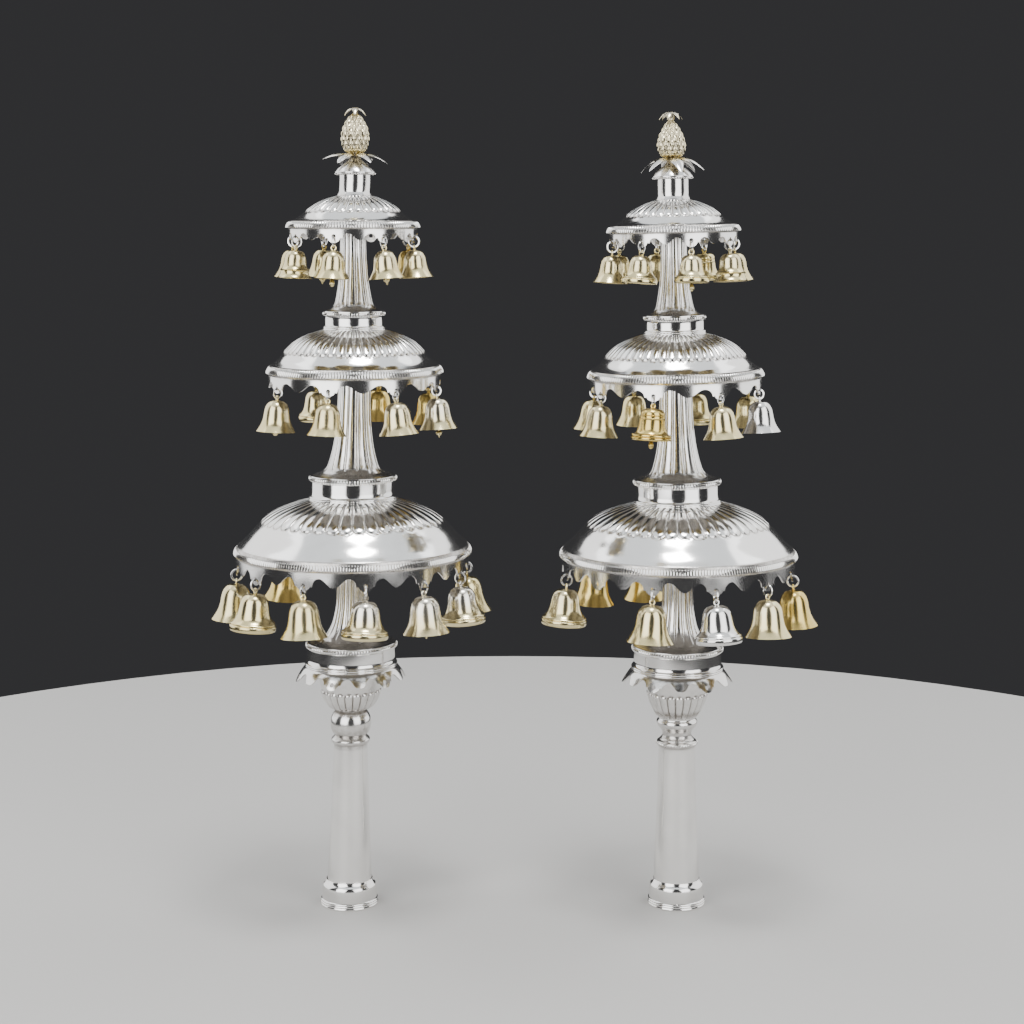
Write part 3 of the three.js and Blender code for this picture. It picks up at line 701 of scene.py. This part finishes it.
def stem_patches(tower, name):
    """A drum with its trumpet-shaped fluted stem, and on the calyx a scalloped collar."""
    stem = STEMS[name]
    phase = tower["phase"]["collar"] if name == "calyx" else 0.0
    angle = column_angles(stem["columns"], phase)
    drum = drum_profile(stem)
    plate = smooth([drum[-1], *stem["plate"]], 0.7)[1:]
    trumpet = smooth(stem["trumpet"], 1.0)
    kept = (trumpet[:, 1] < trumpet[0, 1] + CLOSE_STEPPED) | (np.arange(len(trumpet)) % WIDE_STEP == 0)
    kept[-1] = True
    profile = chained(drum, plate, trumpet[kept])
    lengths = run_lengths(profile)
    edge, start = lengths[len(drum) - 1], lengths[len(drum) + len(plate) - 1]
    move, sunk = tongues(angle, stem["flutes"], lengths - start, profile[:, 0], **FLUTE)
    fade = read_off(FLUTE_FADE, lengths - start) * (lengths > edge)
    radius, height = moved(profile, move * fade[:, None])
    # Painted shade on the plate and some way up the trumpet, left off a narrow edge at the drum's rim, and
    # low in the flutes' grooves
    on_plate = np.interp(lengths, [edge, edge + PLATE_UNSHADED_EDGE, start, start + PLATE_SHADE_REACH],
                         [0, PLATE_PAINTED_SHADE, PLATE_PAINTED_SHADE, 0])
    in_grooves = FLUTE_PAINTED_SHADE * sunk * (lengths > start - 1)[:, None]
    body = closed_grid(around(angle, radius, height), np.maximum(in_grooves, on_plate[:, None]))
    bead_radius = stem["rim_radius"] - BEAD_SIZE
    beads = bead_ring((bead_radius, stem["rim_top"] - 0.7), (bead_radius, stem["rim_z"] + 0.1))
    parts = [body, beads]
    if name == "calyx":
        parts.append(collar_patch(phase))
    return united(parts)


def collar_patch(phase):
    """The calyx collar: a scalloped skirt that flares from the drum's foot. Its radius goes
    from the foot's to the tip's with the power 0.75 of the way down."""
    columns = COLLAR["columns"]
    angle = column_angles(columns, phase)
    foot = STEMS["calyx"]["foot_radius"]
    tip = COLLAR["tip_radius"]
    middle_radius = (foot + tip) / 2
    x, drop, m, hole_row = apron_grid(COLLAR, middle_radius)
    middle = angle - m * TURN / columns
    share = np.clip(drop / COLLAR["tab_drop"], 0, 1)
    radius = foot - 0.3 + (tip - foot + 0.3) * share ** 0.75
    height = COLLAR["root_z"] - drop
    turned = middle + x / radius
    front = around(turned, radius, height)
    back = around(turned, radius - APRON_WALL, height - 0.2 * (1 - share))[::-1]
    root = around(angle, foot - 1.4, COLLAR["root_z"] + 0.2)[None]
    root_back = around(angle, foot - 2.2, COLLAR["root_z"] - 0.8)[None]
    # Painted shade: the collar's back darker than its front
    shade = np.concatenate([np.full((1 + len(front), columns), 0.12),
                            np.full((len(back) + 1, columns), 0.5)])
    return scalloped(root, front, back, root_back, hole_row, m, shade)


# The stave sockets

def socket_patches(tower):
    """A stave socket: reeded foot band, tapering tube, collar, knop and lobed cup, over the
    bore that a stave enters."""
    angle = column_angles(SOCKET_COLUMNS)
    foot = chained(*[swell(*reed) for reed in FOOT["reeds"]], line(*FOOT["band"], 5))
    shoulder = smooth([FOOT["band"][1], *FOOT["shoulder"]], 0.6)
    tube = smooth([FOOT["shoulder"][-1], *tower["tube"]], 3.0)
    collar = smooth([tower["tube"][-1], *tower["collar"], tower["knop"][0]], 0.4)
    knop = smooth([*tower["knop"], tower["cup"][0]], 0.6)
    cup = smooth([*tower["cup"], *tower["bowl"][1:]], 0.55)
    profile = chained(line(*BORE, BORE_STEPS), foot, shoulder, tube, collar, knop, cup)
    lengths = run_lengths(profile)
    cup_foot = tower["cup"][0][1]
    lobe_end = lengths[np.argmin(np.abs(profile[:, 1] - tower["cup"][-1][1]))]
    move, sunk = tongues(angle, tower["lobes"], lobe_end - lengths, profile[:, 0], **CUP_LOBE)
    fade = read_off([(cup_foot, 0), (cup_foot + 1, 1)], profile[:, 1])
    radius, height = moved(profile, move * fade[:, None])
    # Painted shade in the cup's grooves, in bands by height about the collar and knop, and inside the bore
    shade = np.maximum(0.8 * sunk * fade[:, None], read_off(SOCKET_PAINTED_SHADE, profile[:, 1])[:, None])
    shade[:BORE_STEPS] = BORE_PAINTED_SHADE
    parts = [closed_grid(around(angle, radius, height), shade)]
    if tower["collar_beads"]:
        middle, height, size = tower["collar_beads"]
        parts.append(bead_ring((middle, height + size), (middle, height - size), size, 2.05 * size))
    return united(parts)


# The cap

def leaf_patch(leaf, turn, droop):
    """A leaf out from the axis: half width w(t) = W sin(pi t^0.75)^0.8 / 2, its middle line
    rising and then drooping as rise sin(pi t) - droop t^2, its sides folded down by
    fold w(t) u^2 at the share u of the half width, with slanting veins, closed underneath."""
    rows, columns = 16, 9
    t = np.linspace(0.02, 0.98, rows)[:, None]
    across = np.linspace(-1, 1, columns)[None, :]
    half = 0.5 * leaf["width"] * np.sin(math.pi * t ** 0.75) ** 0.8
    out = leaf["root"] + (leaf["reach"] - leaf["root"]) * t + 0 * across
    side = half * across
    lift = leaf["rise"] * np.sin(math.pi * t) - droop * t ** 2
    folded = leaf["fold"] * half * across ** 2
    vein = 0.05 * np.cos(14 * (t - 0.4 * np.abs(across)) * math.pi) * (1 - across ** 2)
    top = leaf["z"] + lift - folded + vein
    thick = (leaf["thickness"] * (0.35 + 0.65 * (1 - across ** 2))
             * np.sin(math.pi * np.clip(t, 0.08, 0.9)) ** 0.5)
    upper = np.stack([out, side, top + 0 * side], axis=-1)
    under = np.stack([out, side, top - thick + 0 * side], axis=-1)[:, ::-1]
    skin = np.concatenate([upper, under], axis=1)
    cos, sin = math.sin(turn), -math.cos(turn)
    x, y, z = np.moveaxis(skin, -1, 0)
    return closed_grid(np.stack([x * cos - y * sin, x * sin + y * cos, z], axis=-1), 0.25)


def fruit_patch(outline):
    """The pineapple: a turned fruit whose skin is raised into diamonds, the product of two
    families of slanting waves |sin(n a / 2 + c s)| |sin(n a / 2 - c s)|, n studs round."""
    profile = smooth(outline, 0.4)
    lengths = run_lengths(profile)
    columns = 12 * CAP["fruit_studs"]
    angle = TURN * np.arange(columns)[None, :] / columns
    way = math.pi * CAP["fruit_rows"] * lengths[:, None] / lengths[-1] / 2
    first = np.abs(np.sin(CAP["fruit_studs"] * angle / 2 + way))
    second = np.abs(np.sin(CAP["fruit_studs"] * angle / 2 - way))
    fade = np.sin(math.pi * np.clip(lengths / lengths[-1], 0.04, 0.96))[:, None] ** 0.5
    stud = (first * second) ** 0.8
    radius, height = moved(profile, (0.95 * stud - 0.35) * fade)
    # Painted shade between the studs
    return closed_grid(around(angle, radius, height), 0.75 * (1 - stud) ** 2)


def cap_patches(tower):
    """The cap: small drum with a sloping foot, brim with beads, cone, leaves, pineapple, tuft."""
    angle = column_angles(CAP_COLUMNS)
    drum = smooth(CAP["drum"], 0.5)
    brim_r, brim_z = CAP["brim"]
    profile = chained(drum, line(CAP["drum"][-1], CAP["drum_top"], 4),
                      line(CAP["drum_top"], (brim_r - 0.6, brim_z - 0.5), 3),
                      swell((brim_r - 0.6, brim_z - 0.5), CAP["cone"][0], 0.25, 5),
                      smooth(CAP["cone"], 0.6), smooth(CAP["neck"], 0.5))
    # Painted shade by height, darkest at the neck under the leaves
    body = closed_grid(swept(profile, angle), read_off(CAP_PAINTED_SHADE, profile[:, 1])[:, None])
    stalk = closed_grid(swept(smooth(tower["stalk"], 0.5), angle[::4]), 0.4)
    beads = bead_ring((brim_r - 0.5, brim_z + 0.2), (brim_r - 0.5, brim_z - 0.9), size=0.55,
                      pitch=TURN * brim_r / CAP["brim_beads"])
    first = math.radians(tower["phase"]["top"])
    leaves = [leaf_patch(BASE_LEAF, first + TURN * i / BASE_LEAF["count"], droop)
              for i, droop in enumerate(tower["leaf_droops"])]
    tuft = [leaf_patch(TUFT_LEAF, first + TURN * (i + 0.5) / TUFT_LEAF["count"], TUFT_DROOP)
            for i in range(TUFT_LEAF["count"])]
    return united([body, fruit_patch(tower["fruit"]), stalk, beads, *leaves, *tuft])


# The bells

def bell_outline(tier, shape):
    """A bell's outer line from crown to mouth, in millimetres below the link's middle."""
    crown = -(tier["link_radius"] + LINK_WIRE + LINK_CLEARANCE + tier["bell_loop"])
    scale = np.array([tier["bell_radius"], tier["bell_height"]])
    runs = [smooth(np.array(run) * scale - [0, tier["bell_height"]], 0.9) for run in BELL_SHAPES[shape]]
    outline = chained(*runs)
    outline[:, 1] += crown
    return outline


def bell_patches(tier, shape, clapper, hang, seed):
    """A bell with its loop and clapper, hanging from the origin: the outline swept round,
    turned in at the mouth and back up inside, a little out of round as a beaten bell is:
    r (1 + 0.012 cos(2 a + s) + 0.006 cos(3 a + 2 s))."""
    outer = bell_outline(tier, shape)
    crown_z, mouth_z = outer[0, 1], outer[-1, 1]
    post = chained([(0.5, crown_z + 0.5), (0.8, crown_z + 0.25)], outer)
    inner = outer + BELL_WALL * normals(outer)
    inner = inner[inner[:, 0] > BELL_CORE][::-1]
    inner[:, 1] = np.clip(inner[:, 1], mouth_z + MOUTH_EDGE, crown_z - BELL_WALL)
    profile = chained(post, inner, [(0.3, inner[-1, 1])])
    angle = column_angles(BELL_COLUMNS)
    uneven = 1 + 0.012 * np.cos(2 * angle + seed) + 0.006 * np.cos(3 * angle + 2 * seed)
    # Painted shade inside the bell, darker than its outside
    within = np.interp(np.arange(len(profile)), [len(post) - 1, len(post)], [0.1, 0.8])
    body = closed_grid(around(angle, profile[:, :1] * uneven, profile[:, 1:]), within[:, None])
    loop_foot = crown_z + 0.3
    loop_top = LINK_WIRE + LOOP_WIRE - tier["link_radius"]
    loop = torus([0, 0, (loop_foot + loop_top) / 2], (loop_top - loop_foot) / 2, LOOP_WIRE,
                 [1, 0, 0], [0, 0, 1], 16, 6)
    return united([body, loop, clapper_patch(crown_z - BELL_WALL, mouth_z, clapper, hang)])


def clapper_patch(top_z, mouth_z, kind, hang):
    """A clapper: a thin rod from the crown down to a turned knob."""
    knob = np.array(CLAPPERS[kind]) * [CLAPPER_WIDTH, 1.0] + [0, mouth_z - hang]
    profile = chained([(CLAPPER_ROD, top_z + 0.3)], smooth(knob, 0.5))
    return closed_grid(swept(profile, column_angles(12)), 0.3)


def turning(axis, angle):
    """The matrix of a turn by an angle about the x, y or z axis, numbered 0, 1 and 2."""
    matrix = np.eye(3)
    first, second = (axis + 1) % 3, (axis + 2) % 3
    matrix[first, first] = matrix[second, second] = math.cos(angle)
    matrix[first, second], matrix[second, first] = -math.sin(angle), math.sin(angle)
    return matrix


def hung(points, tower, tier, angle, index):
    """Turns a bell's points to its place: it sways a little, leans out and faces its angle."""
    sway = BELL_SWAY * math.sin(SWAY_STEP * index)
    turned = turning(2, angle) @ turning(0, -BELL_LEAN) @ turning(1, sway)
    return points @ turned.T + leaned(tower, link_middle(tier, angle).reshape(1, 3))


# Materials

def float_attribute(nodes, name):
    """A node that reads one of a piece's own point values."""
    node = nodes.new("ShaderNodeAttribute")
    node.attribute_name = name
    return node.outputs["Fac"]


def group_socket(group, name, direction, kind, value=None):
    """A named socket on a node group."""
    socket = group.interface.new_socket(name=name, in_out=direction, socket_type=kind)
    if value is not None:
        socket.default_value = value
    return socket


def ranged(nodes, links, value, **ends):
    """A value taken from the range from_min, from_max to the range to_min, to_max."""
    node = nodes.new("ShaderNodeMapRange")
    for end, number in ends.items():
        node.inputs[end.replace("_", " ").title()].default_value = number
    links.new(value, node.inputs["Value"])
    return node.outputs["Result"]


def combined(nodes, links, operation, first, second, clamped=False):
    """Two values multiplied or added."""
    node = nodes.new("ShaderNodeMath")
    node.operation = operation
    node.use_clamp = clamped
    links.new(first, node.inputs[0])
    links.new(second, node.inputs[1])
    return node.outputs[0]


def tarnish_and_shade_group():
    """Mottled tarnish and painted shade: how much shows (the piece's own value, mostly painted
    shade, broken up by two sizes of noise, the larger one adding spots of tarnish) and a faint
    unevenness of the beaten surface as a height."""
    group = bpy.data.node_groups.new("tarnish", "ShaderNodeTree")
    group_socket(group, "Amount", "INPUT", "NodeSocketFloat", 0.0)
    group_socket(group, "Spread", "INPUT", "NodeSocketFloat", 0.1)
    group_socket(group, "Mask", "OUTPUT", "NodeSocketFloat")
    group_socket(group, "Height", "OUTPUT", "NodeSocketFloat")
    nodes, links = group.nodes, group.links
    given, made = nodes.new("NodeGroupInput"), nodes.new("NodeGroupOutput")
    place = nodes.new("ShaderNodeTexCoord")
    large, fine, beaten = (nodes.new("ShaderNodeTexNoise") for _ in range(3))
    for noise, scale, detail in ((large, 70.0, 4.0), (fine, 420.0, 3.0), (beaten, 55.0, 1.0)):
        noise.inputs["Scale"].default_value = scale
        noise.inputs["Detail"].default_value = detail
        links.new(place.outputs["Object"], noise.inputs["Vector"])
    spots = ranged(nodes, links, large.outputs["Fac"], from_min=0.5, from_max=0.75)
    grain = ranged(nodes, links, fine.outputs["Fac"], from_min=0.3, from_max=0.7, to_min=0.55, to_max=1.1)
    spread = combined(nodes, links, "MULTIPLY", spots, given.outputs["Spread"])
    worn = combined(nodes, links, "MULTIPLY", given.outputs["Amount"], grain)
    links.new(combined(nodes, links, "ADD", worn, spread, clamped=True), made.inputs["Mask"])
    links.new(beaten.outputs["Fac"], made.inputs["Height"])
    return group


def mixed(nodes, links, factor, first, second):
    """A colour mix whose factor is a socket and whose colours are sockets or values."""
    node = nodes.new("ShaderNodeMix")
    node.data_type = "RGBA"
    links.new(factor, node.inputs["Factor"])
    for socket, colour in ((node.inputs["A"], first), (node.inputs["B"], second)):
        if isinstance(colour, tuple):
            socket.default_value = (*colour, 1.0)
        else:
            links.new(colour, socket)
    return node.outputs["Result"]


def metal(name, tarnish, bright, dull, second, roughness, spread, wave):
    """A polished metal: bright where clean, dull and rougher with tarnish and painted shade,
    and faintly uneven. second is its other colour: bare silver on gilt bells, old gilding on the
    silver pineapple, as much as the piece's own second value says."""
    material = bpy.data.materials.new(name)
    material.use_nodes = True
    nodes, links = material.node_tree.nodes, material.node_tree.links
    shader = nodes["Principled BSDF"]
    shader.inputs["Metallic"].default_value = 1.0
    effect = nodes.new("ShaderNodeGroup")
    effect.node_tree = tarnish
    effect.inputs["Spread"].default_value = spread
    links.new(float_attribute(nodes, "tarnish"), effect.inputs["Amount"])
    plated = mixed(nodes, links, float_attribute(nodes, "second"), bright, second)
    links.new(mixed(nodes, links, effect.outputs["Mask"], plated, dull), shader.inputs["Base Color"])
    rough = ranged(nodes, links, effect.outputs["Mask"], to_min=roughness,
                   to_max=roughness + TARNISH_AND_SHADE_ROUGHNESS)
    links.new(rough, shader.inputs["Roughness"])
    bump = nodes.new("ShaderNodeBump")
    bump.inputs["Strength"].default_value = wave
    bump.inputs["Distance"].default_value = MM
    links.new(effect.outputs["Height"], bump.inputs["Height"])
    links.new(bump.outputs["Normal"], shader.inputs["Normal"])
    return material


def finishes():
    """The three finishes of the record: silver, worn gilding and fuller gilding."""
    tarnish = tarnish_and_shade_group()
    return {name: metal(name, tarnish, **look) for name, look in FINISHES.items()}


# Pieces

def add_piece(name, one, material, node, second=0.0):
    """Puts a patch into a mesh in metres, with its values of tarnish and painted shade and of
    second colour, faces turned out and sharp edges kept, and lets it stand for its CAD node."""
    mesh = bpy.data.meshes.new(name)
    mesh.from_pydata((one["points"] * MM).tolist(), [], one["faces"])
    tarnish = mesh.attributes.new("tarnish", "FLOAT", "POINT")
    tarnish.data.foreach_set("value", one["tarnish"].astype(np.float32))
    share = mesh.attributes.new("second", "FLOAT", "POINT")
    share.data.foreach_set("value", np.broadcast_to(second, len(one["points"])).astype(np.float32))
    turn_faces_out(mesh)
    mesh.shade_smooth()
    mesh.set_sharp_from_angle(angle=SHARP_EDGE)
    mesh.materials.append(material)
    piece = bpy.data.objects.new(name, mesh)
    bpy.context.scene.collection.objects.link(piece)
    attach(piece, "root")
    if node:
        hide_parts(node)
    return piece


def turn_faces_out(mesh):
    """Recalculates the normals of every closed part of a mesh."""
    work = bmesh.new()
    work.from_mesh(mesh)
    bmesh.ops.recalc_face_normals(work, faces=work.faces)
    work.to_mesh(mesh)
    work.free()


def old_gilding(points):
    """How much old gilding is left: on the pineapple, its tuft and the roots of its leaves."""
    radius = np.hypot(points[:, 0], points[:, 1])
    return read_off(GILDING_BY_HEIGHT, points[:, 2]) * read_off(GILDING_BY_RADIUS, radius)


def add_tower(side, tower, materials):
    """All the pieces of one finial."""
    big = {"stave_socket": socket_patches(tower), "pineapple_cap": cap_patches(tower)}
    for name in STEMS:
        big[name + "_stem"] = stem_patches(tower, name)
    for name in TIERS:
        big[name + "_dome"] = dome_patches(tower, name)
    for name, one in big.items():
        gilding = old_gilding(one["points"])
        one["points"] = placed(tower, leaned(tower, one["points"]))
        node = side + "_" + name
        add_piece("fine_" + node, one, materials["silver"], node, gilding)
    for tier_name in TIERS:
        for index, bell in enumerate(tower["bells"][tier_name]):
            add_bell(side, tower, tier_name, index, bell, materials)


def add_bell(side, tower, tier_name, index, bell, materials):
    """A bell with its loop and clapper. The last one of the right top tier has no CAD node."""
    tier = TIERS[tier_name]
    tab, shape, finish, share, clapper, hang = bell
    one = bell_patches(tier, shape, clapper, hang, seed=1.7 * index + tower["side"])
    heights = one["points"][:, 2]
    up = (heights - heights.min()) / (heights.max() - heights.min())
    low, span, least = WEAR
    second = share * np.clip((up - low) / span, least, 1)
    angle = tab_angle(tower, tier_name, tab)
    one["points"] = placed(tower, hung(one["points"], tower, tier, angle, index))
    node = "%s_%s_bell_%d" % (side, tier_name, index + 1)
    known = node in CAD_NODES
    add_piece("fine_" + node, one, materials[finish], node if known else None, second)


# Floor, light and camera

def add_floor():
    """A round pale floor, flat, its rim at FLOOR_RADIUS."""
    rim = around(TURN * np.arange(96) / 96, FLOOR_RADIUS, 0.0)
    mesh = bpy.data.meshes.new("floor")
    mesh.from_pydata(rim.tolist(), [], [list(range(len(rim)))])
    paint = bpy.data.materials.new("floor_paint")
    paint.use_nodes = True
    shader = paint.node_tree.nodes["Principled BSDF"]
    shader.inputs["Base Color"].default_value = (*FLOOR_COLOUR, 1)
    shader.inputs["Roughness"].default_value = FLOOR_ROUGHNESS
    mesh.materials.append(paint)
    floor = bpy.data.objects.new("floor", mesh)
    bpy.context.scene.collection.objects.link(floor)


def add_softbox(name, place, size, power, aim=PAIR_MIDDLE, tint=(1.0, 1.0, 1.0), roll=0.0):
    """A rectangular soft light turned towards a point, then rolled about its own axis."""
    data = bpy.data.lights.new(name, "AREA")
    data.shape = "RECTANGLE"
    data.size, data.size_y = size
    data.energy = power
    data.color = tint
    lamp = bpy.data.objects.new(name, data)
    lamp.location = place
    lamp.rotation_mode = "QUATERNION"
    turned = (Vector(aim) - Vector(place)).to_track_quat("-Z", "Y")
    lamp.rotation_quaternion = turned @ Quaternion((0, 0, 1), roll)
    lamp.visible_camera = False
    bpy.context.scene.collection.objects.link(lamp)


def add_lights():
    """Two wide softboxes with a gap between them for the camera, two at the sides that light
    the edges from behind, a large one overhead with a small bright one turned to a diamond
    in front of it, and dim air."""
    for name, softbox in SOFTBOXES.items():
        add_softbox(name, **softbox)
    world = bpy.data.worlds.new("air")
    world.use_nodes = True
    world.node_tree.nodes["Background"].inputs["Color"].default_value = (*AIR_COLOUR, 1)
    bpy.context.scene.world = world


def add_camera():
    """The camera at the photograph's place: its lens, height and distance, a small pitch, and
    the rest of the framing as shift."""
    data = bpy.data.cameras.new("camera")
    data.lens = CAMERA_LENS
    data.sensor_width = SENSOR_WIDTH
    data.shift_y = CAMERA_SHIFT
    camera = bpy.data.objects.new("camera", data)
    camera.location = (CAMERA_X, PAIR_CENTRE[1] * MM - CAMERA_DISTANCE, CAMERA_HEIGHT)
    camera.rotation_euler = (math.pi / 2 - CAMERA_PITCH, 0, 0)
    bpy.context.scene.collection.objects.link(camera)
    bpy.context.scene.camera = camera


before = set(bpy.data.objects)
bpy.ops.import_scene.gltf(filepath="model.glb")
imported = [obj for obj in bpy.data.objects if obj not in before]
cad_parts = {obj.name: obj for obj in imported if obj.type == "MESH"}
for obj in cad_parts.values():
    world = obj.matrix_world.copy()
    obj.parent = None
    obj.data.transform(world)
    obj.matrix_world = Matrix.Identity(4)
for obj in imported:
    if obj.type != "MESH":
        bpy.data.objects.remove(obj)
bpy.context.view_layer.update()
CAD_NODES = set(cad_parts)

finish_materials = finishes()
for side_name, tower_values in TOWERS.items():
    add_tower(side_name, tower_values, finish_materials)
add_floor()
add_lights()
add_camera()
